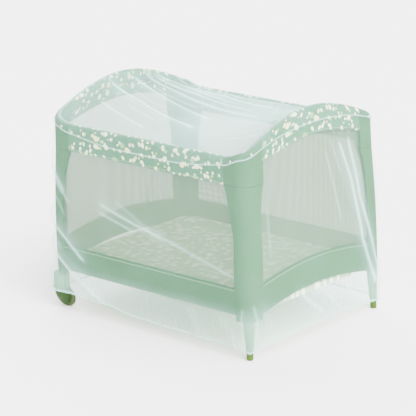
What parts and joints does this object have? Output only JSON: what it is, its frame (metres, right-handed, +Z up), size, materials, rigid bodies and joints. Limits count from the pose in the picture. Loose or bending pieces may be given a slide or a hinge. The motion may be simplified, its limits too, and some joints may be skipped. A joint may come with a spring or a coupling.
{
  "type": "playpen mosquito net on a folding playpen",
  "caption": "Fine see-through net drawn over a folding playpen: a top panel sagging between arched end rails and a skirt hanging to a hem gathered round the feet.",
  "frame": {"origin": "on the floor, below the middle of the playpen", "axes": "+X along the length, from the wheels towards the plain feet; +Y across, from the pictured long side to the far one; +Z up"},
  "size_m": [1.0627, 0.8172, 0.8841],
  "materials": {
    "fine_net": "fine white polyester netting, see-through",
    "printed_padding": "padded green cotton twill, printed",
    "plain_fabric": "plain green woven nylon",
    "window_mesh": "open green knitted mesh",
    "mat_fabric": "padded pale green fabric, printed",
    "leg_plastic": "satin green plastic",
    "foot_plastic": "moulded bright green plastic",
    "wheel_plastic": "moulded dark green plastic",
    "tread_plastic": "satin grey-green plastic",
    "axle_steel": "plain steel"
  },
  "bodies": {
    "root": {"Axle_3": "axle_steel", "Axle_4": "axle_steel", "Band_Back": "plain_fabric", "Band_Foot_End": "plain_fabric", "Band_Front": "plain_fabric", "Band_Wheel_End": "plain_fabric", "Corner_Piece_1": "plain_fabric", "Corner_Piece_2": "plain_fabric", "Corner_Piece_3": "plain_fabric", "Corner_Piece_4": "plain_fabric", "Corner_Post_1": "plain_fabric", "Corner_Post_2": "plain_fabric", "Corner_Post_3": "plain_fabric", "Corner_Post_4": "plain_fabric", "Floor_Mat": "mat_fabric", "Foot_1": "foot_plastic", "Foot_2": "foot_plastic", "Leg_1": "leg_plastic", "Leg_2": "leg_plastic", "Leg_3": "leg_plastic", "Leg_4": "leg_plastic", "Net_Skirt": "fine_net", "Net_Top": "fine_net", "Rail_Back": "printed_padding", "Rail_Foot_End": "printed_padding", "Rail_Front": "printed_padding", "Rail_Wheel_End": "printed_padding", "Wheel_3": "tread_plastic", "Wheel_4": "tread_plastic", "Wheel_Housing_3": "wheel_plastic", "Wheel_Housing_4": "wheel_plastic", "Window_Back": "window_mesh", "Window_Foot_End": "window_mesh", "Window_Front": "window_mesh", "Window_Wheel_End": "window_mesh"}
  },
  "joints": []
}
